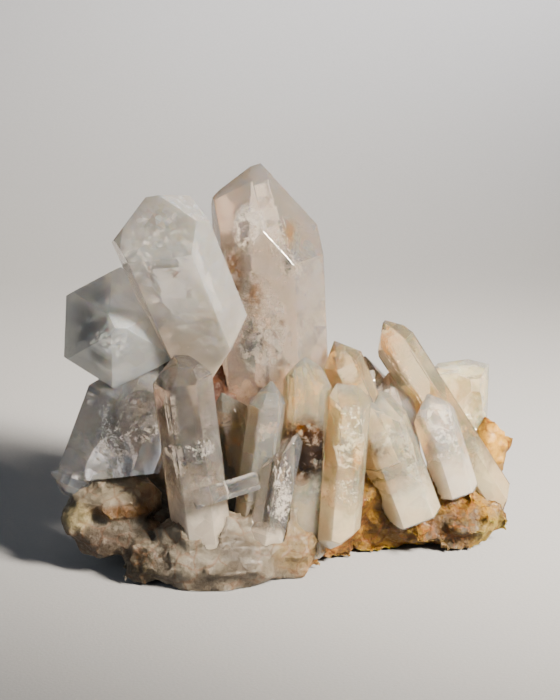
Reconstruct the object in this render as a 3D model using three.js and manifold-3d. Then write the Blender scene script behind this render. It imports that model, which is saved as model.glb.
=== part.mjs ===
// A natural cluster of clear quartz: long six-sided crystals that stand up and lean out of a rough
// matrix of milky, iron-stained quartz grains.
//
// Millimetres. +X is the viewer's right, -Y is towards the viewer and +Z is up. The cluster rests on
// the flat broken underside of its matrix, and the origin is the middle of its footprint.
//
// Each crystal is cut as quartz grows: six prism faces round one axis, closed by six faces that lean
// in at the mineral's own angle. Faces lie at unequal distances from the axis, which is what makes
// every crystal different. The crystals grew into one another and into the matrix, so all of it is
// joined in one solid.
import * as THREE from "three";
import { mergeVertices } from "three/addons/utils/BufferGeometryUtils.js";
import Module from "manifold-3d";

const wasm = await Module();
wasm.setup();

// Driving dimensions
const TIP_LEAN = THREE.MathUtils.degToRad(38.2); // quartz's angle from a prism face to its tip face's normal
const STOCK_LENGTH = 200; // of the block that a crystal is cut from, longer than any crystal
const STOCK_WIDTH = 3; // of that block, in widths of the crystal
const FLOOR_CUT = 0; // height of the flat face that the cluster rests on
const WELD = 1e-4; // corners nearer than this are one
const ROCK_SEED = 11; // picks the grains of the matrix
const SCOOP_DETAIL = 3; // how finely a shell-shaped hollow is faceted
const LUMP_DETAIL = 2; // how finely a large mass of the matrix is faceted
const SMALL_LUMP = 16; // half-size below which a mass has fewer facets
const LUMP_ROUGHNESS = 0.13; // of its radius
const GRAIN_SINK = 0.91; // where a grain's middle lies, as a share of its mass's half-sizes
const POINT_WIDTH = 0.6; // of a small point of crystal, as a share of its length
const POINT_SINK = 0.3; // share of that length inside the matrix

// The same numbers on every run, so that the rock is always the same rock
function seededRandom(seed) {
  let state = seed;
  return () => {
    state = (state + 0x6d2b79f5) | 0;
    let t = Math.imul(state ^ (state >>> 15), 1 | state);
    t = (t + Math.imul(t ^ (t >>> 7), 61 | t)) ^ t;
    return ((t ^ (t >>> 14)) >>> 0) / 4294967296;
  };
}

const point = (p) => new THREE.Vector3(...p);

// A closed three.js geometry as a solid that can be joined and cut
function toSolid(geometry) {
  const bare = new THREE.BufferGeometry();
  bare.setAttribute("position", geometry.getAttribute("position"));
  bare.setIndex(geometry.index);
  const merged = mergeVertices(bare, WELD);
  return new wasm.Manifold(
    new wasm.Mesh({
      numProp: 3,
      vertProperties: merged.attributes.position.array,
      triVerts: new Uint32Array(merged.index.array),
    }),
  );
}

function toGeometry(solid) {
  const mesh = solid.getMesh();
  const geometry = new THREE.BufferGeometry();
  geometry.setAttribute("position", new THREE.BufferAttribute(mesh.vertProperties, 3));
  geometry.setIndex(new THREE.BufferAttribute(mesh.triVerts, 1));
  geometry.computeVertexNormals();
  return geometry;
}

// Keeps what lies behind a plane, whose normal points away from the crystal. The plane passes at a
// distance from the point given, out along its normal.
function slice(solid, normal, from, distance = 0) {
  const n = normal.clone().normalize();
  return solid.trimByPlane([-n.x, -n.y, -n.z], -(n.dot(from) + distance));
}

// Two directions across a crystal's axis. With no roll the first one faces the viewer.
function across(axis, roll) {
  const viewer = new THREE.Vector3(0, -1, 0);
  const front = viewer.addScaledVector(axis, -viewer.dot(axis)).normalize();
  const side = new THREE.Vector3().crossVectors(axis, front).normalize();
  const turn = THREE.MathUtils.degToRad(roll);
  return {
    front: front.clone().multiplyScalar(Math.cos(turn)).addScaledVector(side, Math.sin(turn)),
    side: side.clone().multiplyScalar(Math.cos(turn)).addScaledVector(front, -Math.sin(turn)),
  };
}

// One crystal. root and tip are the ends of its axis, and width is across its prism faces. sides
// gives each prism face's distance from the axis as a share of half the width, and recede how far
// each tip face stands back from the tip, so that its neighbours grow over it. The faces are counted
// from the one that faces the viewer, and run to the viewer's right. breaks are fracture planes, as
// pairs of a point and a direction, and scoops are hollows that a shell-shaped break leaves, as pairs
// of a middle and a radius.
function crystalSolid(c) {
  const root = point(c.root);
  const tip = point(c.tip);
  const axis = tip.clone().sub(root).normalize();
  const { front, side } = across(axis, c.roll ?? 0);
  const stock = new THREE.BoxGeometry(STOCK_WIDTH * c.width, STOCK_WIDTH * c.width, STOCK_LENGTH);
  stock.lookAt(axis);
  stock.translate(...root.clone().lerp(tip, 0.5).toArray());
  let solid = toSolid(stock);
  for (let i = 0; i < 6; i++) {
    const turn = (i * Math.PI) / 3;
    const out = front.clone().multiplyScalar(Math.cos(turn)).addScaledVector(side, Math.sin(turn));
    solid = slice(solid, out, root, (c.width / 2) * (c.sides?.[i] ?? 1));
    const lean = out.clone().multiplyScalar(Math.cos(TIP_LEAN)).addScaledVector(axis, Math.sin(TIP_LEAN));
    solid = slice(solid, lean, tip, c.recede?.[i] ?? 0);
  }
  solid = slice(solid, axis.clone().negate(), root);
  for (const [through, towards] of c.breaks ?? []) {
    solid = slice(solid, point(towards), point(through));
  }
  for (const [middle, radius] of c.scoops ?? []) {
    const hollow = new THREE.IcosahedronGeometry(radius, SCOOP_DETAIL);
    hollow.translate(...middle);
    solid = solid.subtract(toSolid(hollow));
  }
  return solid;
}

// The crystals, from the great ones to the small ones in front, then those at the back
const CRYSTALS = [
  {
    // stands highest and is a little smoky at its tip
    name: "tall_crystal",
    root: [0.4, 18, 38],
    tip: [-4.1, 8.8, 137.4],
    width: 34.7,
    roll: -17,
    sides: [0.83, 1.05, 0.95, 1, 1, 1.13],
    recede: [4.3, 0, 4, 10, 9.7, 13.8],
  },
  {
    // the broadest, cloudy right through, leans out at the viewer
    name: "cloudy_crystal",
    root: [-22.5, 16, 68],
    tip: [-44.9, -36.1, 142.5],
    width: 31,
    roll: -11,
    sides: [0.89, 1.12, 0.98, 1, 1, 1.01],
    recede: [2, 11, 5, 1.6, 1.6, 6.2],
    breaks: [[[-13.5, -5, 91], [0.89, 0, -0.46]]],
  },
  {
    // points straight at the viewer, so that its six-sided end shows
    name: "grey_crystal",
    root: [-58.6, 24, 81.4],
    tip: [-57.6, -24, 94.9],
    width: 38,
    roll: 32,
    recede: [0, 1.5, 0, 2, 0, 1],
  },
  {
    // its lower end is snapped off above the ledge, in shell-shaped hollows
    name: "broken_crystal",
    root: [-64, -2, 30],
    tip: [-45, 6, 80],
    width: 33,
    roll: 20,
    breaks: [[[-66, -10, 34], [0.12, -0.35, -1]]],
    scoops: [
      [[-62, -38, 43], 25],
      [[-78, -26, 37], 14],
    ],
  },
  { name: "left_point", root: [-68, -6, 30], tip: [-83, -8, 36.5], width: 11, roll: 0 },
  {
    name: "front_prism",
    root: [-28.9, -22, 16],
    tip: [-36.6, -24.4, 86.7],
    width: 19.5,
    roll: -2.4,
    sides: [1.04, 1.13, 1, 1, 1, 0.77],
    recede: [1.9, 3.4, 2, 0, 0, -1.2],
    breaks: [[[-36, -24, 84.6], [0.1, -0.3, 1]]],
  },
  {
    name: "slim_crystal",
    root: [-10.2, -14, 18],
    tip: [-2.9, -13.6, 72.8],
    width: 13.2,
    roll: 13.5,
    sides: [0.98, 0.91, 1.07, 1, 0.9, 1.1],
  },
  {
    // holds a rust-brown stain
    name: "stained_crystal",
    root: [7.9, -12, 6.3],
    tip: [9.9, -8.2, 81.3],
    width: 15.9,
    roll: 11.9,
    sides: [0.91, 0.99, 1.06, 1, 0.86, 1.13],
    recede: [1.1, -1.7, 2, 0, 0, 3.2],
  },
  {
    // snapped at its top, and ends in a thick rounded root
    name: "blade_crystal",
    root: [20.5, -19, 6],
    tip: [26.4, -11.6, 82],
    width: 14.5,
    roll: 11,
    sides: [0.9, 0.9, 1, 1, 0.95, 0.95],
    breaks: [
      [[27, -12, 66], [0.25, -0.35, 1]],
      [[20, -22, 13.5], [-0.35, -0.6, -1]],
      [[26, -18, 16], [0.8, -0.3, -1]],
    ],
  },
  { name: "leaning_crystal", root: [38.6, 8, 36], tip: [19.5, 2, 83], width: 13, roll: 10 },
  {
    name: "speckled_crystal",
    root: [49, 6, 14],
    tip: [31, 4, 64],
    width: 18,
    roll: 8,
    sides: [1, 1.15, 1, 1, 1, 1],
    recede: [4, 0, 4, 0, 0, 6],
  },
  {
    name: "pink_crystal",
    root: [66, 11, 22],
    tip: [54, 12, 60],
    width: 14,
    roll: 12,
    recede: [0, 2, 0, 0, 0, 2],
  },
  {
    name: "long_crystal",
    root: [84, 23, 10],
    tip: [38.2, 31.9, 80.9],
    width: 14.2,
    roll: 3.3,
    sides: [1.06, 1.04, 0.9, 1, 1.09, 0.86],
    recede: [0.5, 0.7, 2, 2, 0, 0.1],
    breaks: [[[84.5, 22, 16], [1, 0, -0.35]]],
  },
  { name: "back_left_dome", root: [35, 32, 30], tip: [32, 42, 66], width: 15, roll: 20 },
  { name: "back_right_dome", root: [45, 26, 26], tip: [40.5, 33, 62], width: 17, roll: 30 },
  {
    // a snapped stub, scooped out by shell-shaped breaks
    name: "scooped_block",
    root: [67, 37, 20],
    tip: [68, 42, 80],
    width: 20,
    roll: 10,
    breaks: [[[70, 42, 61.5], [-0.08, 0, 1]]],
    scoops: [
      [[62, 24, 57], 12],
      [[74, 22, 46], 13],
      [[72, 34, 69], 10],
    ],
  },
  {
    // lies across the feet of the front crystals
    name: "lying_prism",
    root: [-30, -36, 35.5],
    tip: [-4, -27, 41],
    width: 6.6,
    roll: 10,
    breaks: [[[-7.5, -30, 40], [1, 0, 0.3]]],
  },
  {
    name: "clear_wedge",
    root: [-5, -20, 14],
    tip: [3.5, -17, 60],
    width: 12.5,
    roll: 25,
    breaks: [[[0, -18, 49], [-0.9, -0.2, 1]]],
  },
  { name: "hollow_crystal", root: [-13, 2, 28], tip: [-21, -6, 66], width: 14, roll: 20 },
  {
    name: "rear_broad_crystal",
    root: [-34, 22, 28],
    tip: [-56, 62, 74],
    width: 24,
    roll: 20,
    recede: [6, 0, 4, 8, 0, 3],
  },
  { name: "rear_upright_crystal", root: [-4, 32, 26], tip: [-8, 56, 88], width: 16, roll: 10 },
  {
    name: "rear_short_crystal",
    root: [16, 34, 16],
    tip: [24, 66, 52],
    width: 18,
    roll: 0,
    recede: [0, 3, 0, 2, 0, 4],
  },
  { name: "rear_high_crystal", root: [-40, 30, 60], tip: [-30, 58, 104], width: 15, roll: 5 },
  { name: "rear_left_crystal", root: [-46, 24, 26], tip: [-66, 52, 50], width: 15, roll: 12 },
  { name: "rear_middle_crystal", root: [8, 36, 20], tip: [5, 65, 64], width: 12, roll: 28 },
  { name: "rear_small_crystal", root: [42, 40, 14], tip: [52, 62, 42], width: 11, roll: 15 },
  { name: "rear_low_crystal", root: [-26, 36, 14], tip: [-24, 66, 34], width: 13, roll: 25 },
];

// The masses of the matrix. seat is the middle of one and spread its three half-sizes. On it stand
// so many broken grains, and so many small points of crystal, of the sizes given.
const MASSES = [
  { seat: [-25, -20, 8], spread: [28, 17, 13.5], grains: [3, 3, 5] }, // milky shelf in front
  { seat: [-27, -22, 17], spread: [18, 11, 10], grains: [2, 2, 4] }, // its upper layer, round the front prism
  { seat: [-3, -11, 10], spread: [20, 16, 15], grains: [3, 3, 5] }, // under the stained crystal
  { seat: [-4, -15, 20], spread: [15, 10, 15], grains: [2, 2, 4] }, // milky roots that have run together
  { seat: [-48, -24, 8], spread: [9, 10, 9], grains: [14, 2, 4] }, // dark knob at the front left
  { seat: [-60, -7, 26], spread: [18, 15, 9], grains: [8, 3, 6] }, // pebbly top of the left ledge
  { seat: [-72, -12, 20], spread: [8.5, 9, 9], grains: [4, 2, 4] }, // its pale left end
  { seat: [-59, -10, 14], spread: [19, 14, 9], grains: [5, 4, 6] }, // its lower layer
  { seat: [-24, 24, 36], spread: [34, 25, 36], grains: [12, 5, 9] }, // hill that bears the great crystals
  { seat: [-46, 31, 57], spread: [20, 16, 28], grains: [10, 5, 8] }, // its left shoulder
  { seat: [-54, 36, 68], spread: [14, 12, 18], grains: [8, 3, 6] }, // its crest, behind the grey crystal
  { seat: [10, 14, 20], spread: [30, 26, 24], grains: [8, 4, 8] }, // middle
  { seat: [38, 20, 12], spread: [36, 20, 18], grains: [34, 3, 6.5], points: [6, 5, 9] }, // right base
  { seat: [67, 22, 9], spread: [18, 20, 13], grains: [24, 3, 6], points: [14, 5, 9] }, // right end
  { seat: [53, 15, 21], spread: [15, 9, 11], grains: [10, 3, 5] }, // grey ledge under the pink crystal
  { seat: [60, 13, 5], spread: [7, 6, 6.5], grains: [4, 2, 3] }, // rounded lump at its foot
  { seat: [17, 1, 5], spread: [10, 6, 6.5], grains: [5, 2, 4] }, // brown lump under the blade crystal
  { seat: [78, 34, 30], spread: [7.5, 8, 13], grains: [6, 2, 4], points: [16, 4, 8] }, // druse at the right
  { seat: [10, 42, 10], spread: [40, 18, 14], grains: [14, 3, 7], points: [8, 5, 9] }, // foot of the back
  { seat: [-34, 36, 12], spread: [30, 20, 18], grains: [10, 4, 8], points: [6, 5, 9] }, // back left
];

// A mass is a faceted lump, its corners moved in and out at random
function massSolid({ seat, spread }, random) {
  const detail = Math.max(...spread) < SMALL_LUMP ? LUMP_DETAIL - 1 : LUMP_DETAIL;
  const sphere = new THREE.IcosahedronGeometry(1, detail);
  sphere.deleteAttribute("normal");
  sphere.deleteAttribute("uv");
  const lump = mergeVertices(sphere, WELD);
  const corners = lump.getAttribute("position");
  for (let i = 0; i < corners.count; i++) {
    const swell = 1 + LUMP_ROUGHNESS * (2 * random() - 1);
    corners.setXYZ(i, corners.getX(i) * swell, corners.getY(i) * swell, corners.getZ(i) * swell);
  }
  lump.scale(...spread);
  lump.translate(...seat);
  return toSolid(lump);
}

// A random place on a mass, with the direction that points out of it there
function placeOn({ seat, spread }, random) {
  const turn = 2 * Math.PI * random();
  const height = 2 * random() - 1;
  const flat = Math.sqrt(1 - height * height);
  const out = new THREE.Vector3(flat * Math.cos(turn), flat * Math.sin(turn), height);
  return { out, at: out.clone().multiply(point(spread)).multiplyScalar(GRAIN_SINK).add(point(seat)) };
}

// A broken grain: a flattened eight-sided chip, sunk more than halfway into the mass
function grainSolid(mass, random) {
  const [, small, large] = mass.grains;
  const { at } = placeOn(mass, random);
  const chip = new THREE.OctahedronGeometry(small + (large - small) * random(), 0);
  chip.scale(1, 0.8 + 0.3 * random(), 0.7 + 0.3 * random());
  chip.rotateX(Math.PI * random());
  chip.rotateY(Math.PI * random());
  chip.translate(at.x, at.y, at.z);
  return toSolid(chip);
}

// A small crystal grown on the mass, not quite square to it
function pointSolid(mass, random) {
  const [, short, long] = mass.points;
  const { at, out } = placeOn(mass, random);
  const length = short + (long - short) * random();
  const sway = new THREE.Vector3(random() - 0.5, random() - 0.5, random() - 0.2);
  const axis = out.add(sway).normalize();
  const root = at.clone().addScaledVector(axis, -POINT_SINK * length);
  const tip = root.clone().addScaledVector(axis, length);
  const width = POINT_WIDTH * length;
  return crystalSolid({ root: root.toArray(), tip: tip.toArray(), width, roll: 60 * random() });
}

function matrixSolid() {
  const random = seededRandom(ROCK_SEED);
  const pieces = [];
  for (const mass of MASSES) {
    pieces.push(massSolid(mass, random));
    for (let i = 0; i < mass.grains[0]; i++) pieces.push(grainSolid(mass, random));
    for (let i = 0; i < (mass.points?.[0] ?? 0); i++) pieces.push(pointSolid(mass, random));
  }
  return wasm.Manifold.union(pieces);
}

// The whole cluster, cut off flat where it rests. Closed hollows inside it are filled.
function clusterSolid() {
  const whole = wasm.Manifold.union([...CRYSTALS.map(crystalSolid), matrixSolid()]);
  const parts = whole.trimByPlane([0, 0, 1], FLOOR_CUT).decompose();
  return parts.reduce((a, b) => (a.volume() > b.volume() ? a : b));
}

// Moves the middle of its footprint to the origin
function centred(solid) {
  const { min, max } = solid.boundingBox();
  const middle = point(min).add(point(max)).multiplyScalar(0.5);
  return solid.translate([-middle.x, -middle.y, 0]);
}

const cluster = new THREE.Mesh(
  toGeometry(centred(clusterSolid())),
  new THREE.MeshStandardMaterial({ color: 0xd2ccc2, roughness: 0.1, metalness: 0 }),
);
cluster.name = "quartz_cluster";
const group = new THREE.Group();
group.add(cluster);

export default group;
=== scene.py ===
# %% [markdown]
# A natural quartz cluster, dressed in Blender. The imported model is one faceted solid. Here it is
# grown again from the same measures as separate visible pieces: clear and cloudy crystals with veils
# inside, and the granular rock that they stand in, stained by iron.

import math

import bpy
import numpy as np
from mathutils import Matrix, Vector
from mathutils.bvhtree import BVHTree


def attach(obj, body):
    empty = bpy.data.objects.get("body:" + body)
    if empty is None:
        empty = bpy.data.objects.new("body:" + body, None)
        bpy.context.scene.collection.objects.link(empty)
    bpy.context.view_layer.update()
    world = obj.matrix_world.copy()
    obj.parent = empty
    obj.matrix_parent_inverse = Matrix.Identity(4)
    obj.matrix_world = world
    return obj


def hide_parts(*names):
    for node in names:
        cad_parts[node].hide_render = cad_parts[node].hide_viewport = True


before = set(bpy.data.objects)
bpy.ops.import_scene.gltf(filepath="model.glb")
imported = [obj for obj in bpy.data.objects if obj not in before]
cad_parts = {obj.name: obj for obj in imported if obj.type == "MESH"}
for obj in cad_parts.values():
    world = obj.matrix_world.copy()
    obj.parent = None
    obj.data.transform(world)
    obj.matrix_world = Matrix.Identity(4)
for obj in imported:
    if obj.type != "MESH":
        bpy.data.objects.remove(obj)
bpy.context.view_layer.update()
MM = 0.001
SOLID = "quartz_cluster"
MIDDLE = Vector((2.817, 13.821, 0))  # mm, of the footprint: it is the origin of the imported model

# %% [markdown]
# The camera comes first, because every finish is judged through it. The photograph looks down on the
# cluster by 16 degrees from about 0.9 m, with a long lens, so the crystals hardly converge.

# %% Camera
VIEW_DOWN = math.radians(16)
VIEW_DISTANCE = 0.9
VIEW_HEIGHT = 0.252  # of the picture, measured at the cluster
AIM = (Vector((0, 0, 80)) - MIDDLE) * MM
SENSOR = 36.0  # mm along the picture's long side


def place_camera():
    data = bpy.data.cameras.new("camera")
    camera = bpy.data.objects.new("camera", data)
    bpy.context.scene.collection.objects.link(camera)
    back = Vector((0, -math.cos(VIEW_DOWN), math.sin(VIEW_DOWN)))
    camera.location = AIM + back * VIEW_DISTANCE
    camera.rotation_euler = (math.pi / 2 - VIEW_DOWN, 0, 0)
    data.sensor_width = SENSOR
    data.lens = SENSOR * VIEW_DISTANCE / VIEW_HEIGHT
    data.clip_start = 0.01
    bpy.context.scene.camera = camera
    return camera


camera = place_camera()
print("the lens is", round(camera.data.lens, 1), "mm")

# %% [markdown]
# Helpers that every piece uses. An operator acts on all that is selected, so each step starts by
# selecting one object alone.


# %% Helpers for pieces
def only(piece):
    if bpy.context.object and bpy.context.object.mode != "OBJECT":
        bpy.ops.object.mode_set(mode="OBJECT")
    bpy.ops.object.select_all(action="DESELECT")
    piece.select_set(True)
    bpy.context.view_layer.objects.active = piece


def apply_modifier(piece, kind, **settings):
    only(piece)
    modifier = piece.modifiers.new(kind.lower(), kind)
    for key, value in settings.items():
        setattr(modifier, key, value)
    bpy.ops.object.modifier_apply(modifier=modifier.name)


def combine(piece, tool, operation):
    """Cuts, joins or crosses a piece with a tool, which is then gone."""
    apply_modifier(piece, "BOOLEAN", object=tool, operation=operation, solver="MANIFOLD")
    bpy.data.objects.remove(tool, do_unlink=True)


def join(pieces):
    only(pieces[0])
    for piece in pieces[1:]:
        piece.select_set(True)
    bpy.ops.object.join()
    return pieces[0]


def displace(piece, kind, size, depth, middle=1.0, group="", **settings):
    """Moves the surface by a texture. Where the texture equals middle, it stays."""
    texture = bpy.data.textures.new(piece.name + "_" + kind.lower(), kind)
    texture.noise_scale = size
    for key, value in settings.items():
        setattr(texture, key, value)
    apply_modifier(
        piece,
        "DISPLACE",
        texture=texture,
        texture_coords="GLOBAL",
        strength=depth,
        mid_level=middle,
        vertex_group=group,
    )


def stands_for_solid(piece, material):
    piece.data.materials.clear()
    piece.data.materials.append(material)
    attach(piece, "root")
    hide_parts(SOLID)


# %% [markdown]
# A material is a graph of nodes, and most of its code is the same few steps: add a node, set its
# numbers, link it. This small class keeps those steps to one line each.


# %% A shader to write nodes into
class Shader:
    def __init__(self, name):
        self.material = bpy.data.materials.new(name)
        self.material.use_nodes = True
        self.tree = self.material.node_tree
        self.surface = self.tree.nodes["Principled BSDF"]
        self.output = self.tree.nodes["Material Output"]
        self.place = self.tree.nodes.new("ShaderNodeTexCoord").outputs["Object"]

    def node(self, kind, inputs=(), **settings):
        made = self.tree.nodes.new(kind)
        for key, value in settings.items():
            setattr(made, key, value)
        for key, value in dict(inputs).items():
            self.put(made.inputs[key], value)
        return made

    def put(self, socket, value):
        if isinstance(value, bpy.types.NodeSocket):
            self.tree.links.new(value, socket)
        elif socket.type == "RGBA":
            socket.default_value = (*value, 1)
        else:
            socket.default_value = value

    def set(self, key, value):
        self.put(self.surface.inputs[key], value)

    def math(self, operation, a, b=0.0, clamp=False):
        return self.node("ShaderNodeMath", {0: a, 1: b}, operation=operation, use_clamp=clamp).outputs[0]

    def times(self, *factors):
        product = factors[0]
        for factor in factors[1:]:
            product = self.math("MULTIPLY", product, factor)
        return product

    def vector(self, operation, a, b):
        return self.node("ShaderNodeVectorMath", {0: a, 1: b}, operation=operation)

    def part(self, vector, axis):
        return self.node("ShaderNodeSeparateXYZ", {0: vector}).outputs[axis]

    def mark(self, name, output="Vector"):
        return self.node("ShaderNodeAttribute", attribute_name=name).outputs[output]

    def ramp(self, value, low, high, start=0.0, end=1.0):
        inputs = {"Value": value, "From Min": low, "From Max": high, "To Min": start, "To Max": end}
        return self.node("ShaderNodeMapRange", inputs, interpolation_type="SMOOTHSTEP").outputs["Result"]

    def noise(self, place, size, detail=4.0, distortion=0.0, roughness=0.5):
        inputs = {"Vector": place, "Scale": 1 / size, "Detail": detail}
        inputs.update({"Distortion": distortion, "Roughness": roughness})
        return self.node("ShaderNodeTexNoise", inputs).outputs["Fac"]

    def cells(self, place, size, feature="F1", output="Distance"):
        inputs = {"Vector": place, "Scale": 1 / size}
        return self.node("ShaderNodeTexVoronoi", inputs, feature=feature).outputs[output]

    def facets(self, place, size):
        """The height of a surface broken into small flat faces, each tilted its own way."""
        cell = self.node("ShaderNodeTexVoronoi", {"Vector": place, "Scale": 1 / size})
        offset = self.vector("SUBTRACT", place, cell.outputs["Position"]).outputs[0]
        slope = self.vector("SUBTRACT", cell.outputs["Color"], (0.5, 0.5, 0.5)).outputs[0]
        return self.vector("DOT_PRODUCT", offset, slope).outputs["Value"]

    def mix(self, share, a, b):
        return self.node("ShaderNodeMix", {0: share, 6: a, 7: b}, data_type="RGBA").outputs[2]

    def near(self, centre, radius, soft=0.5):
        """1 around a place given in millimetres, fading out to 0 at the radius or radii."""
        radii = radius if hasattr(radius, "__len__") else [radius] * 3
        offset = self.vector("SUBTRACT", self.place, Vector(centre) * MM).outputs[0]
        squash = Vector([1 / (r * MM) for r in radii])
        scaled = self.vector("MULTIPLY", offset, squash).outputs[0]
        length = self.vector("LENGTH", scaled, (0, 0, 0)).outputs["Value"]
        return self.ramp(length, 1.0, 1.0 - soft)

    def bump(self, height, distance, strength=1.0, under=None):
        inputs = {"Height": height, "Distance": distance, "Strength": strength}
        if under is not None:
            inputs["Normal"] = under
        return self.node("ShaderNodeBump", inputs).outputs["Normal"]


# %% [markdown]
# Quartz lets light through and bends it by its index of 1.544. What makes one crystal clear and the
# next one cloudy is how much of the light is scattered by tiny fluid bubbles, so each finish has its
# own share of transmission, a plain number, and the rest is scattered under its surface. A volume
# that absorbs a little gives thick places their smoky or honey tone. Along each crystal run fine
# growth lines, square to its axis: "growth" is the place measured along the crystal's own axes.
# Stains are spots of iron or dust given by place, radii, colour and strength, and crinkles are spots
# where healed cracks just under the surface make it sparkle.

# %% Quartz
QUARTZ_INDEX = 1.544
RUST = (0.13, 0.048, 0.003)
BURNT = (0.025, 0.011, 0.001)
HONEY = (0.8, 0.5, 0.14)
PEACH = (0.85, 0.56, 0.28)
DUST = (0.22, 0.12, 0.05)


def stained_colour(shader, tint, stains, specks, wisps):
    """The tint with pale clouds, dull wisps, the stains and fine specks of dust."""
    pale = tuple(min(1.0, c * 1.1 + 0.04) for c in tint)
    dull = tuple(c * c * 0.85 for c in tint)
    clouds = shader.noise(shader.place, 14 * MM, detail=6, distortion=0.6)
    colour = shader.mix(shader.ramp(clouds, 0.42, 0.62), tint, pale)
    between = shader.times(shader.ramp(wisps, 0.5, 0.72), shader.ramp(clouds, 0.6, 0.4), 0.55)
    colour = shader.mix(between, colour, dull)
    for where, radius, paint, strength in stains:
        spot = shader.near(where, radius, soft=0.8)
        colour = shader.mix(shader.times(spot, shader.ramp(wisps, 0.36, 0.56), strength), colour, paint)
    pits = shader.ramp(shader.cells(shader.place, 1.8 * MM), 0.12, 0.06)
    few = shader.ramp(shader.noise(shader.place, 8 * MM), 0.52, 0.62)
    return shader.mix(shader.times(pits, few, specks), colour, DUST)


def grown_relief(shader, lines, etched, crinkles, wisps):
    """Growth lines, a fine unevenness, shallow etched faces and the crinkled spots."""
    stretched = shader.vector("MULTIPLY", shader.mark("growth"), (0.12, 0.12, 1.0)).outputs[0]
    striae = shader.noise(stretched, 1.1 * MM, detail=3, roughness=0.6)
    relief = shader.bump(striae, 0.08 * MM, lines)
    relief = shader.bump(wisps, 0.08 * MM, 0.4, under=relief)
    relief = shader.bump(shader.facets(shader.place, 5 * MM), 1.0, etched, under=relief)
    for where, radius, strength in crinkles:
        spot = shader.near(where, radius, soft=0.6)
        here = shader.times(spot, shader.ramp(wisps, 0.4, 0.5), strength)
        relief = shader.bump(shader.facets(shader.place, 1.9 * MM), 1.0, here, under=relief)
    return relief


def quartz(
    name, tint, clear, haze=0.02, smoke=(0.75, 0.54, 0.23), density=25.0, depth=6,
    stains=(), specks=0.7, lines=0.5, etched=0.1, crinkles=(),
):
    """clear is the share let through, depth the way in mm that the rest goes under the surface."""
    shader = Shader(name)
    wisps = shader.noise(shader.place, 3.5 * MM, detail=8, roughness=0.7)
    shader.set("Base Color", stained_colour(shader, tint, stains, specks, wisps))
    shader.set("Roughness", shader.ramp(wisps, 0.42, 0.75, haze, haze + 0.2))
    shader.set("IOR", QUARTZ_INDEX)
    shader.set("Transmission Weight", clear)
    shader.set("Subsurface Weight", 1.0)
    shader.set("Subsurface Radius", (1.0, 0.85, 0.7))
    shader.set("Subsurface Scale", depth * MM)
    shader.set("Normal", grown_relief(shader, lines, etched, crinkles, wisps))
    absorb = shader.node("ShaderNodeVolumeAbsorption", {"Color": smoke, "Density": density})
    shader.tree.links.new(absorb.outputs[0], shader.output.inputs["Volume"])
    return shader.material


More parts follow.
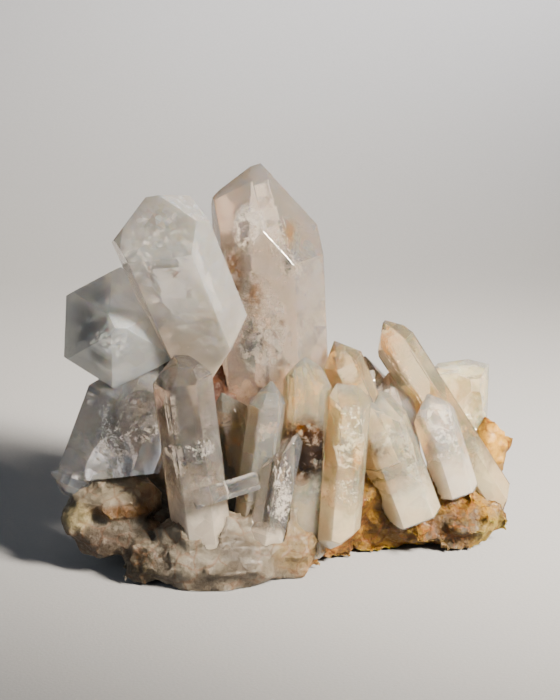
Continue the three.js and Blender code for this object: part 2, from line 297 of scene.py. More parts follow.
FINISHES = {
    "smoky": quartz(
        "smoky_clear_quartz", (0.98, 0.93, 0.85), 0.94, smoke=(0.72, 0.48, 0.25), density=34,
        stains=[((-1.9, -16.8, 90.9), 2.2, RUST, 0.9), ((0.6, -13.8, 124), (3, 8, 8), HONEY, 0.8),
                ((-20, -12, 108), (7, 10, 18), DUST, 1.2), ((-12, -16, 100), (5, 8, 12), DUST, 1.0)],
        crinkles=[((5, -19, 124), (7, 12, 8), 0.5)],
    ),
    "cloudy": quartz(
        "cloudy_quartz", (0.97, 0.92, 0.87), 0.87, haze=0.01, specks=0.6, smoke=(0.84, 0.72, 0.58), density=9,
        depth=8,
        crinkles=[((-43, -46, 138), (12, 16, 7), 0.9), ((-44, -44, 128), (6, 14, 3), 1.0),
                  ((-34, -42, 134), (5, 14, 8), 0.7)],
    ),
    "grey": quartz(
        "blue_grey_quartz", (0.8, 0.84, 0.86), 0.8, haze=0.01, smoke=(0.62, 0.66, 0.68), density=9, depth=8,
        crinkles=[((-74, -34, 104), (8, 14, 6), 1.0), ((-70, -36, 98), (9, 12, 3), 0.6)],
    ),
    "fractured": quartz(
        "fractured_quartz", (0.94, 0.92, 0.94), 0.92, smoke=(0.6, 0.54, 0.52), density=16, lines=1.0
    ),
    "clear": quartz("clear_quartz", (0.98, 0.95, 0.91), 0.97, smoke=(0.66, 0.5, 0.33), density=42),
    "slim": quartz("smoky_slim_quartz", (0.97, 0.92, 0.82), 0.93, smoke=(0.75, 0.58, 0.32), density=40),
    "stained": quartz(
        "rust_stained_quartz", (0.98, 0.88, 0.7), 0.92, smoke=(0.88, 0.64, 0.2), density=34,
        stains=[((6, -27, 47.7), (11, 22, 16), RUST, 2.5), ((7, -27, 46.5), (8, 22, 11), BURNT, 2.5),
                ((-1.2, -31.8, 48), (3, 9, 14), HONEY, 1.0), ((9.9, -23.8, 70), (2, 6, 7), HONEY, 1.0)],
    ),
    "crumpled": quartz(
        "crumpled_white_quartz", (1.0, 0.88, 0.66), 0.92, haze=0.02, smoke=(0.93, 0.7, 0.36), density=34,
        stains=[((25, -31, 45), (4, 9, 12), (0.75, 0.42, 0.12), 0.9)],
    ),
    "speckled": quartz(
        "speckled_quartz", (1.0, 0.91, 0.72), 0.92, smoke=(0.92, 0.7, 0.34), density=36,
        stains=[((33, -16.8, 43), (5, 8, 5), RUST, 0.9)],
    ),
    "pink": quartz("pinkish_quartz", (1.0, 0.9, 0.79), 0.9, smoke=(0.98, 0.66, 0.42), density=18),
    "honey": quartz(
        "honey_quartz", (1.0, 0.85, 0.62), 0.95, smoke=(0.96, 0.6, 0.3), density=38,
        stains=[((60.6, -3.8, 48.5), (9, 12, 10), HONEY, 0.9), ((38, 14, 76), (9, 9, 7), PEACH, 0.9)],
    ),
    "cream": quartz(
        "cream_quartz", (1.0, 0.83, 0.57), 0.85, haze=0.03, smoke=(0.97, 0.66, 0.34), density=34, etched=0.5,
        stains=[((66, 12, 50), (8, 10, 9), HONEY, 0.7)],
    ),
    # painted shade: the crystal deep in the hollow is darkened by a dull tint and dense absorption, standing
    # in for the shade it sits in
    "dark": quartz("shade_darkened_quartz", (0.8, 0.72, 0.6), 0.94, smoke=(0.42, 0.3, 0.18), density=70),
}
print("mixed", len(FINISHES), "kinds of quartz")

# %% [markdown]
# The measures of the crystals, in millimetres before the middle is taken off. root and tip are the
# ends of the axis. sides gives each prism face's distance from the axis as a share of half the width,
# and recede how far each tip face stands back from the tip. breaks are fracture planes, and scoops
# are shell-shaped hollows. milky is the share of the length over which the inside is filled with
# milky quartz that has grown up from the rock, and milk says which colour it has, if not white.

# %% Measures of the crystals
CRYSTALS = {
    "tall": dict(
        root=(0.4, 18, 38), tip=(-4.1, 8.8, 137.4), width=34.7, roll=-17, finish="smoky", milky=0.3,
        sides=(0.83, 1.05, 0.95, 1, 1, 1.13), recede=(4.3, 0, 4, 10, 9.7, 13.8),
    ),
    "cloudy": dict(
        root=(-22.5, 16, 68), tip=(-44.9, -36.1, 142.5), width=31, roll=-11, finish="cloudy", milky=0.4,
        sides=(0.89, 1.12, 0.98, 1, 1, 1.01), recede=(2, 11, 5, 1.6, 1.6, 6.2),
        breaks=[((-13.5, -5, 91), (0.89, 0, -0.46))],
    ),
    "grey": dict(
        root=(-58.6, 24, 81.4), tip=(-57.6, -24, 94.9), width=38, roll=32, finish="grey", milky=0.3,
        recede=(0, 1.5, 0, 2, 0, 1),
    ),
    "broken": dict(
        root=(-64, -2, 30), tip=(-45, 6, 80), width=33, roll=20, finish="fractured", milky=0.12,
        breaks=[((-66, -10, 34), (0.12, -0.35, -1))],
        scoops=[((-62, -38, 43), 25), ((-78, -26, 37), 14)],
    ),
    "left_point": dict(root=(-68, -6, 30), tip=(-83, -8, 36.5), width=11, finish="fractured", milky=0.2),
    "front": dict(
        root=(-27.3, -21.5, 2), tip=(-36.6, -24.4, 86.7), width=19.5, roll=-2.4, finish="clear", milky=0.55,
        sides=(1.04, 1.13, 1, 1, 1, 0.77), recede=(1.9, 3.4, 2, 0, 0, -1.2),
        breaks=[((-36, -24, 84.6), (0.1, -0.3, 1))],
    ),
    "slim": dict(
        root=(-10.2, -14, 18), tip=(-2.9, -13.6, 72.8), width=13.2, roll=13.5, finish="slim",
        milky=0.3, milk="tan", sides=(0.98, 0.91, 1.07, 1, 0.9, 1.1),
    ),
    "stained": dict(
        root=(7.9, -12, 6.3), tip=(9.9, -8.2, 81.3), width=15.9, roll=11.9, finish="stained",
        milky=0.42, milk="tan",
        sides=(0.91, 0.99, 1.06, 1, 0.86, 1.13), recede=(1.1, -1.7, 2, 0, 0, 3.2),
    ),
    "blade": dict(
        root=(20.5, -19, 6), tip=(26.4, -11.6, 82), width=14.5, roll=11, finish="crumpled", milky=0.4,
        sides=(0.9, 0.9, 1, 1, 0.95, 0.95),
        breaks=[((27, -12, 66), (0.25, -0.35, 1)), ((20, -22, 13.5), (-0.35, -0.6, -1)),
                ((26, -18, 16), (0.8, -0.3, -1))],
    ),
    "leaning": dict(root=(38.6, 8, 36), tip=(19.5, 2, 83), width=13, roll=10, finish="honey", milky=0.3),
    "speckled": dict(
        root=(49, 6, 14), tip=(31, 4, 64), width=18, roll=8, finish="speckled", milky=0.4,
        sides=(1, 1.15, 1, 1, 1, 1), recede=(4, 0, 4, 0, 0, 6),
    ),
    "pink": dict(
        root=(66, 11, 22), tip=(54, 12, 60), width=14, roll=12, finish="pink", milky=0.5,
        recede=(0, 2, 0, 0, 0, 2),
    ),
    "long": dict(
        root=(84, 23, 10), tip=(38.2, 31.9, 80.9), width=14.2, roll=3.3, finish="honey", milky=0.4,
        sides=(1.06, 1.04, 0.9, 1, 1.09, 0.86), recede=(0.5, 0.7, 2, 2, 0, 0.1),
        breaks=[((84.5, 22, 16), (1, 0, -0.35))],
    ),
    "back_left_dome": dict(root=(35, 32, 30), tip=(32, 42, 66), width=15, roll=20, finish="clear", milky=0.4),
    "back_right_dome": dict(
        root=(45, 26, 26), tip=(40.5, 33, 62), width=17, roll=30, finish="smoky", milky=0.3
    ),
    "scooped": dict(
        root=(67, 37, 20), tip=(68, 42, 80), width=20, roll=10, finish="cream", milky=0.3,
        breaks=[((70, 42, 61.5), (-0.08, 0, 1))],
        scoops=[((62, 24, 57), 12), ((74, 22, 46), 13), ((72, 34, 69), 10)],
    ),
    "lying": dict(
        root=(-30, -36, 35.5), tip=(-4, -27, 41), width=6.6, roll=10, finish="clear", milky=0,
        breaks=[((-7.5, -30, 40), (1, 0, 0.3))],
    ),
    "wedge": dict(
        root=(-5, -20, 14), tip=(3.5, -17, 60), width=12.5, roll=25, finish="clear", milky=0.2,
        breaks=[((0, -18, 49), (-0.9, -0.2, 1))],
    ),
    # painted shade: this crystal in the hollow takes the darkened finish
    "hollow": dict(root=(-13, 2, 28), tip=(-21, -6, 66), width=14, roll=20, finish="dark", milky=0),
    "rear_broad": dict(
        root=(-34, 22, 28), tip=(-56, 62, 74), width=24, roll=20, finish="cloudy", milky=0.3,
        recede=(6, 0, 4, 8, 0, 3),
    ),
    "rear_upright": dict(root=(-4, 32, 26), tip=(-8, 56, 88), width=16, roll=10, finish="clear", milky=0.3),
    "rear_short": dict(
        root=(16, 34, 16), tip=(24, 66, 52), width=18, finish="crumpled", milky=0.4,
        recede=(0, 3, 0, 2, 0, 4),
    ),
    "rear_high": dict(root=(-40, 30, 60), tip=(-30, 58, 104), width=15, roll=5, finish="grey", milky=0.3),
    "rear_left": dict(root=(-46, 24, 26), tip=(-66, 52, 50), width=15, roll=12, finish="clear", milky=0.4),
    "rear_middle": dict(root=(8, 36, 20), tip=(5, 65, 64), width=12, roll=28, finish="smoky", milky=0.3),
    "rear_small": dict(root=(42, 40, 14), tip=(52, 62, 42), width=11, roll=15, finish="honey", milky=0.4),
    "rear_low": dict(root=(-26, 36, 14), tip=(-24, 66, 34), width=13, roll=25, finish="cloudy", milky=0.4),
}

# %% [markdown]
# A crystal is a block of stock that is bisected once for each of its faces, and filled where it is
# cut. Its six tip faces lean in at quartz's own angle. The same steps make it a little larger, to cut
# its socket in the rock, or smaller and shorter, for the milky core inside it.

# %% Cut a crystal
TIP_LEAN = math.radians(38.2)  # from a prism face's normal to its tip face's
STOCK_LENGTH = 200
STOCK_WIDTH = 3  # in widths of the crystal


def axes_of(crystal):
    """The crystal's root, and its axes: across it to the side, across it to the front, and along it."""
    root = Vector(crystal["root"]) - MIDDLE
    axis = (Vector(crystal["tip"]) - Vector(crystal["root"])).normalized()
    viewer = Vector((0, -1, 0))
    front = (viewer - axis * viewer.dot(axis)).normalized()
    turn = Matrix.Rotation(math.radians(crystal.get("roll", 0)), 3, axis)
    front = turn @ front
    return root, axis.cross(front).normalized(), front, axis


def length_of(crystal):
    return (Vector(crystal["tip"]) - Vector(crystal["root"])).length


def cut_away(towards, through):
    """Bisects the piece in edit mode and closes the cut. Both places are in millimetres."""
    bpy.ops.mesh.select_all(action="SELECT")
    bpy.ops.mesh.bisect(plane_co=through * MM, plane_no=towards, use_fill=True, clear_outer=True)


def cut_crystal(name, crystal, grow=0.0, share=1.0):
    """A closed crystal with its faces moved out by grow millimetres, over a share of its length."""
    root, side, front, axis = axes_of(crystal)
    tip = root + axis * length_of(crystal) * share
    width = crystal["width"]
    bpy.ops.object.select_all(action="DESELECT")
    bpy.ops.mesh.primitive_cube_add(size=1)
    piece = bpy.context.object
    piece.name = name
    turn = Matrix((side, front, axis)).transposed().to_4x4()
    size = Vector((STOCK_WIDTH * width, STOCK_WIDTH * width, STOCK_LENGTH)) * MM
    centre = (root + axis * length_of(crystal) / 2) * MM
    piece.matrix_world = Matrix.Translation(centre) @ turn @ Matrix.Diagonal(size).to_4x4()
    bpy.ops.object.transform_apply(location=True, rotation=True, scale=True)
    bpy.ops.object.mode_set(mode="EDIT")
    for i in range(6):
        angle = i * math.pi / 3
        out = front * math.cos(angle) + side * math.sin(angle)
        lean = out * math.cos(TIP_LEAN) + axis * math.sin(TIP_LEAN)
        cut_away(out, root + out * (width / 2 * crystal.get("sides", [1] * 6)[i] + grow))
        cut_away(lean, tip + lean * (crystal.get("recede", [0] * 6)[i] + grow))
    cut_away(-axis, root - axis * grow)
    for through, towards in crystal.get("breaks", ()):
        towards = Vector(towards).normalized()
        cut_away(towards, Vector(through) - MIDDLE + towards * grow)
    bpy.ops.mesh.select_all(action="SELECT")
    bpy.ops.mesh.normals_make_consistent(inside=False)
    bpy.ops.object.mode_set(mode="OBJECT")
    return piece


# %% [markdown]
# Two crystals end in shell-shaped breaks. Each one is a ball with fine ripples, taken out of the
# crystal.

# %% Shell-shaped breaks
RIPPLE = 0.9 * MM


def scoop_out(piece, crystal, grow=0.0):
    for middle, radius in crystal.get("scoops", ()):
        bpy.ops.object.select_all(action="DESELECT")
        bpy.ops.mesh.primitive_ico_sphere_add(
            subdivisions=6, radius=(radius - grow) * MM, location=(Vector(middle) - MIDDLE) * MM
        )
        ball = bpy.context.object
        bpy.ops.object.transform_apply(location=True, rotation=True, scale=True)
        displace(ball, "CLOUDS", 3.5 * MM, RIPPLE, noise_depth=3)
        combine(piece, ball, "DIFFERENCE")


# %% [markdown]
# On a real crystal no edge is razor sharp: it is worn by a few tenths of a millimetre, and that line
# catches the light. So the edges are bevelled. Where crystals run into one another, the later one in
# the list gives way to the earlier, and a thin film of air shows where they meet.

# %% Grow the crystals
WORN_EDGE = 0.25 * MM
CREASE = math.radians(8)
FILM = 0.06  # mm of air between two crystals that grew into each other


def reach_of(crystal):
    """The crystal's middle and a radius around it that holds it all."""
    middle = (Vector(crystal["root"]) + Vector(crystal["tip"])) / 2
    return middle, length_of(crystal) / 2 + crystal["width"]


def may_meet(a, b):
    (at, reach), (to, far) = reach_of(a), reach_of(b)
    return (at - to).length < reach + far


def mark_growth(piece, crystal, scale=1.0):
    """Keeps each point's place along the crystal's own axes, for the growth lines."""
    root, side, front, axis = axes_of(crystal)
    places = np.array([v.co for v in piece.data.vertices]) - np.array(root * MM)
    own = places @ np.array([side, front, axis]).T * scale
    mark = piece.data.attributes.new("growth", "FLOAT_VECTOR", "POINT")
    mark.data.foreach_set("vector", own.astype(np.float32).ravel())


def grow_crystals():
    grown = {}
    done = []
    for name, crystal in CRYSTALS.items():
        piece = cut_crystal(name, crystal)
        scoop_out(piece, crystal)
        for other in done:
            if may_meet(crystal, CRYSTALS[other]):
                combine(piece, cut_crystal("room", CRYSTALS[other], grow=FILM), "DIFFERENCE")
        done.append(name)
        grown[name] = piece
    return grown


crystals = grow_crystals()
for name, piece in crystals.items():
    if not CRYSTALS[name].get("scoops"):
        worn = dict(width=WORN_EDGE, segments=2, limit_method="ANGLE", angle_limit=CREASE)
        apply_modifier(piece, "BEVEL", **worn)
    apply_modifier(piece, "TRIANGULATE")
    mark_growth(piece, CRYSTALS[name])
    stands_for_solid(piece, FINISHES[CRYSTALS[name]["finish"]])
print("grew", len(crystals), "crystals of", sum(len(p.data.polygons) for p in crystals.values()), "faces")

# %% [markdown]
# The rock is quartz too, but grown as a mass of small grains that scatter nearly all the light. It is
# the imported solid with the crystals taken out, joined with the milky cores that reach up inside them,
# and remeshed finely so that grains and hollows can be pressed into it. They only go inwards, so the
# rock never outgrows the solid.

# %% Rock
ROCK_VOXEL = 0.95 * MM
SKIN = 0.8  # mm of clear quartz over a milky core
FILLED = 0.5  # share of a milky core that is solid rock


def copy_of_solid(name):
    piece = bpy.data.objects.new(name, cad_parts[SOLID].data.copy())
    bpy.context.scene.collection.objects.link(piece)
    only(piece)
    bpy.ops.object.mode_set(mode="EDIT")
    bpy.ops.mesh.select_all(action="SELECT")
    bpy.ops.mesh.remove_doubles(threshold=0.01 * MM)
    bpy.ops.object.mode_set(mode="OBJECT")
    return piece


def keep_largest(piece):
    only(piece)
    bpy.ops.mesh.separate(type="LOOSE")
    parts = sorted(bpy.context.selected_objects, key=lambda p: len(p.data.vertices))
    largest = parts.pop()
    for part in parts:
        bpy.data.objects.remove(part, do_unlink=True)
    largest.name = "rock"
    return largest


def make_filling(crystal):
    filling = cut_crystal("filling", crystal, grow=-SKIN, share=FILLED * crystal["milky"])
    scoop_out(filling, crystal, grow=-SKIN)
    return filling


def make_rock():
    rock = copy_of_solid("rock")
    for crystal in CRYSTALS.values():
        room = cut_crystal("room", crystal, grow=FILM)
        scoop_out(room, crystal, grow=FILM)
        combine(rock, room, "DIFFERENCE")
    fillings = [make_filling(crystal) for crystal in CRYSTALS.values() if crystal["milky"]]
    rock = join([rock] + fillings)
    apply_modifier(rock, "REMESH", mode="VOXEL", voxel_size=ROCK_VOXEL)
    return keep_largest(rock)


rock = make_rock()
print("the rock has", len(rock.data.polygons), "faces")

# %% [markdown]
# The grains are pressed in with two textures, a coarse one of rounded pebbles and a fine one. Where the
# rock meets a crystal it stays as it is, so that no gap opens. How deep each point went is kept as
# "groove", because the iron stains lie in the grooves, and the deepest grooves are darkened with
# painted shade as well.

# %% Grains on the rock
CALM = 2.5  # mm from a crystal over which the grains fade in
PEBBLY = [  # middle, radius and strength of the places with coarse grains
    ((-64, -34, 32), 15, 0.5),
    ((-54, -44, 8), 11, 0.7),
    ((-76, -34, 20), 10, 0.5),
    ((76, 18, 32), 14, 0.03),
]


def places_of(piece):
    return np.array([v.co for v in piece.data.vertices]) / MM


def calm_near_crystals(places):
    """0 at a crystal, rising to 1."""
    scene_now = bpy.context.evaluated_depsgraph_get()
    trees = [BVHTree.FromObject(piece, scene_now) for piece in crystals.values()]
    nearest = [min((t.find_nearest(p, CALM * MM)[3] or 1.0) for t in trees) for p in places * MM]
    return np.clip(np.array(nearest) / (CALM * MM), 0, 1)


def coarseness(places):
    coarse = np.clip((places[:, 0] - 2) / 14, 0.22, 0.7)
    for middle, radius, strength in PEBBLY:
        away = np.linalg.norm(places - np.array(middle), axis=1) / radius
        share = np.clip(1.6 - away, 0, 1)
        coarse = coarse * (1 - share) + strength * share
    return coarse


def weigh(piece, name, weights):
    group = piece.vertex_groups.new(name=name)
    steps = np.round(weights, 1)
    for level in np.unique(steps):
        group.add(np.flatnonzero(steps == level).tolist(), float(level), "REPLACE")


def roughen_rock(rock):
    before = places_of(rock)
    calm = calm_near_crystals(before)
    weigh(rock, "coarse", calm * coarseness(before))
    weigh(rock, "calm", calm)
    displace(rock, "VORONOI", 5.5 * MM, -2.6 * MM, middle=0, group="coarse")
    displace(rock, "VORONOI", 2.4 * MM, -1.2 * MM, middle=0, group="coarse")
    displace(rock, "CLOUDS", 6 * MM, 0.9 * MM, group="coarse", noise_depth=3)
    depth = np.linalg.norm(places_of(rock) - before, axis=1)
    grain = rock.data.attributes.new("grain", "FLOAT", "POINT")
    grain.data.foreach_set("value", coarseness(before).astype(np.float32))
    groove = rock.data.attributes.new("groove", "FLOAT", "POINT")
    groove.data.foreach_set("value", depth.astype(np.float32))
    for vertex in rock.data.vertices:
        vertex.co.z = max(vertex.co.z, 0)
    only(rock)
    bpy.ops.object.shade_smooth_by_angle(angle=math.radians(35))
    print("the deepest groove goes in by", round(float(depth.max()), 2), "mm")


roughen_rock(rock)

# %% [markdown]
# The rock's colours run from milky grey under the front crystals, over violet-grey at the left, to tan
# and orange at the right, where iron has stained the cracks between the grains.

# %% Colour of the rock
MILK = (0.125, 0.107, 0.08)
DULL_MILK = (0.055, 0.042, 0.028)
TAN = (0.15, 0.075, 0.004)
DARK_TAN = (0.03, 0.011, 0.0003)
# the colour of iron in the veins, and of the painted shade in the deep grooves
IRON_AND_SHADE = (0.09, 0.027, 0.002)
# Three of the patches, low down next to the floor at the left front and at the right, are much darker than
# the rest.
ROCK_PATCHES = [  # middle, radii, colour and strength
    ((-66, -30, 35), (24, 24, 9), (0.16, 0.135, 0.095), 0.9),
    ((-76, -36, 23), (9, 14, 8), (0.21, 0.17, 0.085), 0.8),
    ((-58, -36, 25), (19, 16, 4), (0.07, 0.03, 0.004), 0.95),
    ((-68, -30, 13), (17, 20, 9), (0.06, 0.042, 0.027), 0.9),
    ((-52, -45, 8), (9, 12, 12), (0.02, 0.014, 0.005), 0.95),
    ((-18, -49, 19), (2.5, 6, 3.5), (0.5, 0.15, 0.01), 1.0),
    ((2, -30, 12), (16, 18, 14), (0.11, 0.07, 0.022), 0.9),
    ((15, -26, 3), (16, 16, 7), (0.2, 0.09, 0.02), 0.9),
    ((62, -9, 8), (15, 14, 13), (0.032, 0.022, 0.011), 0.9),
    ((76, -4, 6), (10, 18, 10), (0.12, 0.09, 0.018), 0.85),
    ((77, 12, 34), (13, 16, 16), (0.3, 0.16, 0.02), 0.9),
    ((-24, -4, 64), (16, 16, 14), (0.035, 0.006, 0.001), 1.0),
]


def rock_colour(shader, bent, fine, right):
    """Milk and tan, then the patches, and last the iron in veins, and iron with painted shade in the grooves,
    stronger at the right.
    """
    broad = shader.noise(shader.place, 14 * MM, detail=6, distortion=0.8)
    colour = shader.mix(shader.ramp(broad, 0.35, 0.65), DULL_MILK, MILK)
    tones = shader.part(shader.cells(bent, 5 * MM, output="Color"), 0)
    colour = shader.mix(right, colour, shader.mix(tones, DARK_TAN, TAN))
    for where, radius, paint, strength in ROCK_PATCHES:
        spot = shader.near(where, radius, soft=0.6)
        colour = shader.mix(shader.times(spot, shader.ramp(fine, 0.2, 0.55), strength), colour, paint)
    seams = shader.cells(bent, 7 * MM, feature="DISTANCE_TO_EDGE")
    in_seams = shader.times(shader.ramp(seams, 0.08, 0.01), shader.ramp(broad, 0.42, 0.54))
    vein = shader.times(in_seams, shader.ramp(right, 0, 1, 0.4, 1.0))
    # painted shade and iron: the deepest grooves are darkened to the iron colour, partly stain and partly the
    # shade of the recesses
    deep = shader.ramp(shader.mark("groove", "Fac"), 1.4, 2.6)
    iron_and_shade_in_grooves = shader.times(deep, shader.ramp(fine, 0.35, 0.6), shader.ramp(right, 0, 1, 0.35, 0.8))
    return shader.mix(shader.math("MAXIMUM", vein, iron_and_shade_in_grooves), colour, IRON_AND_SHADE)


def rock_material():
    shader = Shader("milky_rock")
    wobble = shader.node("ShaderNodeTexNoise", {"Vector": shader.place, "Scale": 1 / (6 * MM)})
    shift = shader.vector("MULTIPLY", wobble.outputs["Color"], (4 * MM,) * 3).outputs[0]
    bent = shader.vector("ADD", shader.place, shift).outputs[0]
    fine = shader.noise(shader.place, 1.6 * MM, detail=8, roughness=0.7)
    right = shader.ramp(shader.part(shader.place, 0), 2 * MM, 18 * MM)
    shader.set("Base Color", rock_colour(shader, bent, fine, right))
    shader.set("Roughness", shader.ramp(fine, 0.35, 0.7, 0.4, 0.7))
    shader.set("IOR", QUARTZ_INDEX)
    shader.set("Subsurface Weight", 1.0)
    shader.set("Subsurface Radius", (1.0, 0.9, 0.8))
    shader.set("Subsurface Scale", 2 * MM)
    shader.set("Coat Weight", 0.03)
    shader.set("Coat Roughness", 0.15)
    shader.set("Specular IOR Level", 0.2)
    coarse = shader.ramp(shader.mark("grain", "Fac"), 0.1, 0.5, 0.5, 1.0)
    relief = shader.bump(shader.facets(bent, 7 * MM), 1.0, 0.5)
    relief = shader.bump(shader.facets(bent, 1.5 * MM), 1.0, shader.times(coarse, 0.6), under=relief)
    shader.set("Normal", shader.bump(fine, 0.5 * MM, coarse, under=relief))
    return shader.material


stands_for_solid(rock, rock_material())

# %% [markdown]
# Above the rock the milky quartz thins out inside each crystal. So every crystal has a core, a little
# smaller than itself, that is milky low down and fades to nothing along the axis.

# %% Milky cores
CORE_SKIN = 0.5


def core_material(name, dark, light):
    shader = Shader(name)
    rise = shader.part(shader.mark("growth"), 2)
    wisps = shader.noise(shader.place, 6 * MM, detail=8, distortion=0.5, roughness=0.65)
    edge = shader.math("ADD", rise, shader.math("MULTIPLY", wisps, 0.9))
    shader.set("Base Color", shader.mix(wisps, dark, light))
    shader.set("Roughness", 0.6)
    shader.set("Alpha", shader.ramp(edge, 1.5, 0.8, 0.0, 0.9))
    relief = shader.bump(shader.facets(shader.place, 5 * MM), 1.0, 0.5)
    shader.set("Normal", shader.bump(wisps, 0.5 * MM, 0.8, under=relief))
    return shader.material


MILKS = {
    "white": core_material("fading_milk", (0.66, 0.57, 0.46), (0.9, 0.82, 0.7)),
    "tan": core_material("fading_tan_milk", (0.2, 0.12, 0.05), (0.38, 0.27, 0.14)),
}


def make_core(name, crystal):
    core = cut_crystal("core_" + name, crystal, grow=-CORE_SKIN, share=1.3 * crystal["milky"])
    scoop_out(core, crystal, grow=-CORE_SKIN)
    mark_growth(core, crystal, scale=1 / (crystal["milky"] * length_of(crystal) * MM))
    stands_for_solid(core, MILKS[crystal.get("milk", "white")])
    return core


cores = [make_core(name, crystal) for name, crystal in CRYSTALS.items() if crystal["milky"]]
print("filled", len(cores), "milky cores")

# %% [markdown]
# Most veils are old healed cracks, full of tiny bubbles. Each is a thin crumpled sheet inside its crystal,
# placed along the crystal's own axes, that shows only where noise lets it. Silvery ones are cracks
# that hold air, which mirrors the light in many small crumpled faces. The shade ones are no cracks:
# they are dark sheets of painted shade, standing in for the dark bands that the crystals show by refraction.

# %% Veils
VEIL_THICKNESS = 0.05 * MM
VEIL_DEPTH = 0.4  # mm that a veil stays under the crystal's faces


def veil_material(name, colour, cover, rough=0.3, size=3.0, silver=0.0, strength=0.95, crumpled=0.5):
    shader = Shader(name)
    wisps = shader.noise(shader.place, size * MM, detail=9, distortion=0.3, roughness=0.72)
    shader.set("Base Color", colour)
    shader.set("Metallic", silver)
    shader.set("Roughness", rough)
    shader.set("Specular IOR Level", 1.0)
    middle = shader.vector("LENGTH", shader.mark("sheet"), (0, 0, 0)).outputs["Value"]
    patches = shader.ramp(wisps, 0.66 - cover / 3, 0.78 - cover / 3, 0.0, strength)
    shader.set("Alpha", shader.times(patches, shader.ramp(middle, 1.0, 0.55)))
    relief = shader.bump(shader.facets(shader.place, 2.2 * MM), 1.0, crumpled)
    shader.set("Normal", shader.bump(wisps, 0.6 * MM, 0.5, under=relief))
    return shader.material


VEILS = {
    "silver": veil_material("silvery_crack", (0.97, 0.96, 0.94), 0.75, rough=0.2, silver=1.0, crumpled=1.0),
    "flakes": veil_material("white_flakes", (1.0, 0.98, 0.95), 0.5, size=1.8, crumpled=1.0),
    "bright": veil_material("bright_veil", (0.97, 0.94, 0.9), 0.65, strength=0.75, size=4.0, crumpled=0.2),
    "faint": veil_material("faint_veil", (0.93, 0.88, 0.81), 0.4, size=6.0, strength=0.6, crumpled=0.1),
    "golden": veil_material("golden_stain", (0.6, 0.36, 0.08), 0.5, rough=0.5, size=6.0, strength=0.55),
    "rusty": veil_material("rusty_veil", (0.14, 0.05, 0.001), 1.0, rough=0.6, size=2.4, strength=1.0),
    "rusty_wisps": veil_material("rusty_wisps", (0.1, 0.04, 0.002), 0.25, rough=0.6, size=1.5),
    "burnt": veil_material("burnt_veil", (0.02, 0.008, 0.0005), 1.0, rough=0.6, size=2.0, strength=1.0),
    "brown": veil_material("brown_veil", (0.26, 0.15, 0.06), 0.5, rough=0.5, size=6.0, strength=0.8),
    # painted shade: a dark sheet, not a crack, that darkens a crystal where it shows dark bands by refraction
    "shade": veil_material("painted_shade_sheet", (0.05, 0.033, 0.02), 1.2, rough=0.5, size=4.0, strength=0.75),
}

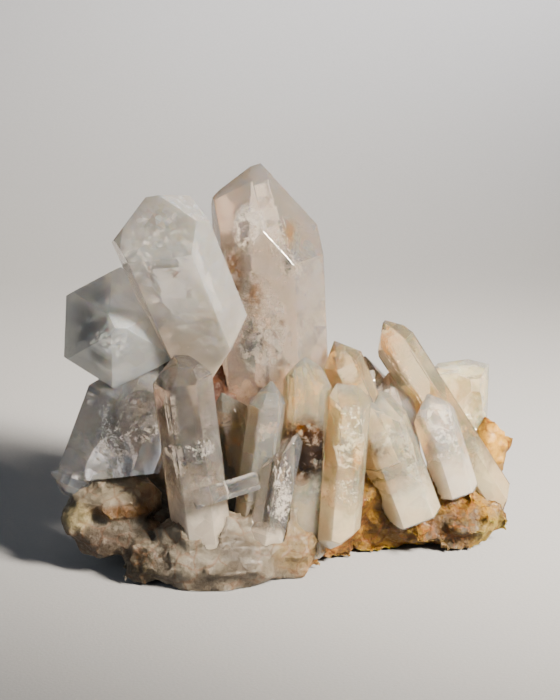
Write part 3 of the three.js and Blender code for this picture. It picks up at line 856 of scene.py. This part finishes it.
# crystal, its place as (side, front, along) in mm, width and height, tilt about side and along, kind
VEIL_PLACES = [
    ("tall", (-5, 9, 88), (12, 20), (18, 8), "bright"),
    ("tall", (7, 7, 84), (16, 18), (25, -30), "flakes"),
    ("tall", (10, 4, 80), (14, 16), (35, -40), "silver"),
    ("tall", (12, 6, 84), (10, 26), (20, -40), "rusty_wisps"),
    ("tall", (0, 6, 64), (30, 46), (18, 5), "faint"),
    ("tall", (-2, 9, 52), (26, 44), (10, -15), "bright"),
    ("tall", (-9, 8, 64), (16, 50), (12, 20), "brown"),
    ("tall", (10, 7, 58), (16, 44), (10, -30), "faint"),
    ("tall", (5, 2, 40), (30, 26), (40, 0), "faint"),
    ("cloudy", (-5, 7, 80), (22, 16), (42, 10), "flakes"),
    ("cloudy", (5, 6, 78), (18, 16), (55, -15), "flakes"),
    ("cloudy", (0, 9, 77), (26, 10), (30, 0), "silver"),
    ("cloudy", (-3, 10, 74), (24, 12), (24, 8), "flakes"),
    ("cloudy", (-2, 12, 67), (16, 9), (30, 10), "flakes"),
    ("cloudy", (0, 8, 70), (20, 10), (10, 0), "brown"),
    ("cloudy", (0, 6, 50), (30, 34), (20, 20), "faint"),
    ("cloudy", (5, 10, 32), (20, 18), (10, -20), "bright"),
    ("grey", (-10, 3, 44), (18, 14), (62, 15), "flakes"),
    ("grey", (-8, 5, 41), (20, 16), (75, 30), "flakes"),
    ("grey", (0, 0, 28), (34, 34), (90, 0), "faint"),
    ("grey", (-7, 2, 39), (24, 16), (65, 0), "flakes"),
    ("grey", (6, -6, 36), (26, 20), (90, 0), "faint"),
    ("grey", (0, -10, 38), (24, 14), (80, -15), "bright"),
    ("broken", (2, 9, 36), (30, 26), (-15, 20), "silver"),
    ("broken", (-1, 5, 26), (26, 20), (30, -10), "flakes"),
    # painted shade: a dark sheet across the broken crystal
    ("broken", (0, 2, 34), (30, 30), (15, 20), "shade"),
    ("broken", (3, 11, 40), (26, 14), (25, 0), "faint"),
    ("broken", (-4, 9, 16), (18, 12), (30, 0), "flakes"),
    # painted shade: two dark sheets for the dark upright bands in the front crystal
    ("front", (-6.5, 6, 62), (5.5, 34), (4, 0), "shade"),
    ("front", (1.5, 6.5, 61), (8, 36), (4, 0), "shade"),
    ("front", (-3, 4, 56), (6, 40), (6, 20), "bright"),
    ("front", (5, 7, 51), (12, 11), (20, 10), "flakes"),
    ("front", (0, 0, 48), (19, 12), (60, 0), "bright"),
    ("front", (0, 6, 40), (19, 26), (15, 10), "faint"),
    ("slim", (0, 3, 38), (12, 24), (15, 20), "brown"),
    ("slim", (0, 2, 30), (12, 24), (10, -20), "faint"),
    ("stained", (0, 6, 40), (20, 30), (10, 0), "rusty"),
    ("stained", (-2, 4, 38), (18, 30), (4, 25), "rusty"),
    ("stained", (2, 5.5, 40), (14, 20), (10, 0), "burnt"),
    ("stained", (3, 3, 39), (13, 20), (15, -20), "burnt"),
    ("stained", (-4, 5, 56), (6, 34), (5, 20), "golden"),
    ("stained", (0, 3, 64), (15, 20), (20, 0), "golden"),
    ("stained", (0, 5, 22), (16, 26), (10, 10), "faint"),
    ("blade", (0, 5, 50), (14, 20), (15, 10), "flakes"),
    ("blade", (0, 3, 42), (14, 20), (25, 10), "bright"),
    ("blade", (4, 5, 37), (7, 26), (10, -10), "golden"),
    ("blade", (0, 5, 28), (16, 12), (10, 0), "flakes"),
    ("leaning", (0, 3, 40), (12, 24), (15, 0), "golden"),
    ("speckled", (0, 5, 40), (18, 20), (20, 20), "faint"),
    ("speckled", (6, 5, 24), (10, 26), (15, -30), "bright"),
    ("speckled", (-2, 6, 27), (16, 26), (20, 10), "rusty_wisps"),
    ("pink", (0, 4, 28), (14, 20), (20, 20), "bright"),
    ("pink", (1, 5, 18), (14, 14), (10, -20), "flakes"),
    ("long", (-4, 3, 66), (9, 40), (10, 40), "flakes"),
    ("long", (0, 4, 38), (14, 34), (15, 0), "golden"),
    ("long", (1, 2, 36), (14, 30), (15, 20), "golden"),
    ("long", (0, 2, 78), (14, 16), (25, 0), "golden"),
    ("long", (2, 4, 18), (14, 26), (10, -20), "bright"),
    ("scooped", (0, 4, 34), (20, 18), (20, 20), "flakes"),
    ("scooped", (0, 0, 38), (22, 12), (60, 0), "bright"),
    ("scooped", (0, 5, 22), (20, 24), (20, -20), "golden"),
    ("wedge", (0, 2, 26), (12, 18), (20, 20), "flakes"),
    ("wedge", (1, 3, 16), (12, 18), (10, 10), "bright"),
    ("lying", (0, 0, 12), (7, 22), (80, 0), "bright"),
    ("hollow", (0, 2, 26), (12, 18), (20, 10), "brown"),
    ("rear_broad", (0, 3, 40), (24, 30), (-20, 20), "faint"),
    ("rear_broad", (2, -4, 50), (20, 18), (-40, 0), "flakes"),
    ("rear_upright", (0, -3, 50), (14, 24), (20, 20), "bright"),
    ("rear_high", (0, -3, 34), (13, 20), (30, 0), "flakes"),
]


def mark_sheet(sheet, back):
    """Keeps each point's place on the sheet, from -1 to 1 both ways, so that it can fade at its rim."""
    own = np.array([(back @ vertex.co) * 2 for vertex in sheet.data.vertices])
    own[:, 2] = 0
    mark = sheet.data.attributes.new("sheet", "FLOAT_VECTOR", "POINT")
    mark.data.foreach_set("vector", own.astype(np.float32).ravel())


def make_veil(number, name, place, size, tilt, kind):
    crystal = CRYSTALS[name]
    root, side, front, axis = axes_of(crystal)
    bpy.ops.object.select_all(action="DESELECT")
    bpy.ops.mesh.primitive_grid_add(x_subdivisions=32, y_subdivisions=32, size=1)
    sheet = bpy.context.object
    sheet.name = f"veil_{number}_{name}"
    own = Matrix((side, -axis, front)).transposed().to_4x4()
    at = root + side * place[0] + front * place[1] + axis * place[2]
    lean = Matrix.Rotation(math.radians(tilt[0]), 4, "X") @ Matrix.Rotation(math.radians(tilt[1]), 4, "Y")
    spread = Matrix.Diagonal((size[0] * MM, size[1] * MM, 1, 1))
    placed = Matrix.Translation(at * MM) @ own @ lean @ spread
    sheet.matrix_world = placed
    bpy.ops.object.transform_apply(location=True, rotation=True, scale=True)
    displace(sheet, "CLOUDS", 6 * MM, 2.4 * MM, middle=0.5, noise_depth=2)
    apply_modifier(sheet, "SOLIDIFY", thickness=VEIL_THICKNESS)
    room = cut_crystal("room", crystal, grow=-VEIL_DEPTH)
    scoop_out(room, crystal, grow=-VEIL_DEPTH)
    combine(sheet, room, "INTERSECT")
    mark_sheet(sheet, placed.inverted())
    for face in sheet.data.polygons:
        face.use_smooth = True
    stands_for_solid(sheet, VEILS[kind])
    return sheet


veils = [make_veil(number, *place) for number, place in enumerate(VEIL_PLACES)]
print("hung", len(veils), "veils of", sum(len(v.data.polygons) for v in veils), "faces")

# %% [markdown]
# The studio: a pale sweep of paper that runs up behind the cluster, a soft window from the right front,
# a light on the paper behind, and a weak bluish light from the left with a weak sky to fill the shadow.

# %% Floor and light
FLOOR_WIDTH = 5.0
SWEEP_START = 1.0
SWEEP_HEIGHT = 2.2


def make_floor():
    bpy.ops.object.select_all(action="DESELECT")
    bpy.ops.mesh.primitive_plane_add(size=1, location=(0, 0, 0))
    floor = bpy.context.object
    floor.name = "paper_sweep"
    bpy.ops.object.mode_set(mode="EDIT")
    bpy.ops.transform.resize(value=(FLOOR_WIDTH, 2 * SWEEP_START, 1))
    bpy.ops.mesh.select_all(action="DESELECT")
    bpy.ops.object.mode_set(mode="OBJECT")
    for edge in floor.data.edges:
        ends = [floor.data.vertices[i].co.y for i in edge.vertices]
        edge.select = min(ends) > 0.5 * SWEEP_START
    bpy.ops.object.mode_set(mode="EDIT")
    bpy.ops.mesh.select_mode(type="EDGE")
    bpy.ops.mesh.extrude_region_move(TRANSFORM_OT_translate={"value": (0, 0, SWEEP_HEIGHT)})
    bpy.ops.object.mode_set(mode="OBJECT")
    only(floor)
    apply_modifier(floor, "BEVEL", width=0.6, segments=24, limit_method="ANGLE")
    bpy.ops.object.shade_smooth()
    shader = Shader("pale_paper")
    weave = shader.noise(shader.place, 1.2 * MM, detail=3)
    shader.set("Base Color", shader.mix(weave, (0.23, 0.23, 0.235), (0.265, 0.265, 0.27)))
    shader.set("Roughness", 0.9)
    shader.set("Specular IOR Level", 0.2)
    shader.set("Normal", shader.bump(weave, 0.3 * MM, 0.3))
    floor.data.materials.append(shader.material)
    return floor


def add_light(name, place, aim, size, power, spread, colour):
    data = bpy.data.lights.new(name, "AREA")
    data.shape = "RECTANGLE"
    data.size, data.size_y = size
    data.energy = power
    data.spread = math.radians(spread)
    data.color = colour
    light = bpy.data.objects.new(name, data)
    bpy.context.scene.collection.objects.link(light)
    light.location = place
    light.rotation_euler = (Vector(aim) - Vector(place)).to_track_quat("-Z", "Y").to_euler()
    return light


make_floor()
# name, place, what it shines at, size, watts, spread in degrees, colour
add_light("window", (0.64, -0.54, 0.62), (0.1, 0.1, 0.08), (0.26, 0.26), 7.6, 42, (1.0, 0.91, 0.78))
add_light("backdrop_light", (0.6, 0.2, 1.5), (0.14, 1.0, 0.24), (0.4, 0.4), 11.5, 40, (1.0, 0.97, 0.95))
add_light("fill", (-0.9, -0.7, 0.5), (-0.05, 0, 0.05), (0.8, 0.8), 1.2, 110, (0.8, 0.9, 1.0))
world = bpy.data.worlds.new("studio_air")
bpy.context.scene.world = world
world.use_nodes = True
sky = world.node_tree.nodes["Background"].inputs
sky["Color"].default_value = (0.74, 0.86, 1.0, 1)
sky["Strength"].default_value = 0.13
print("the studio is lit")
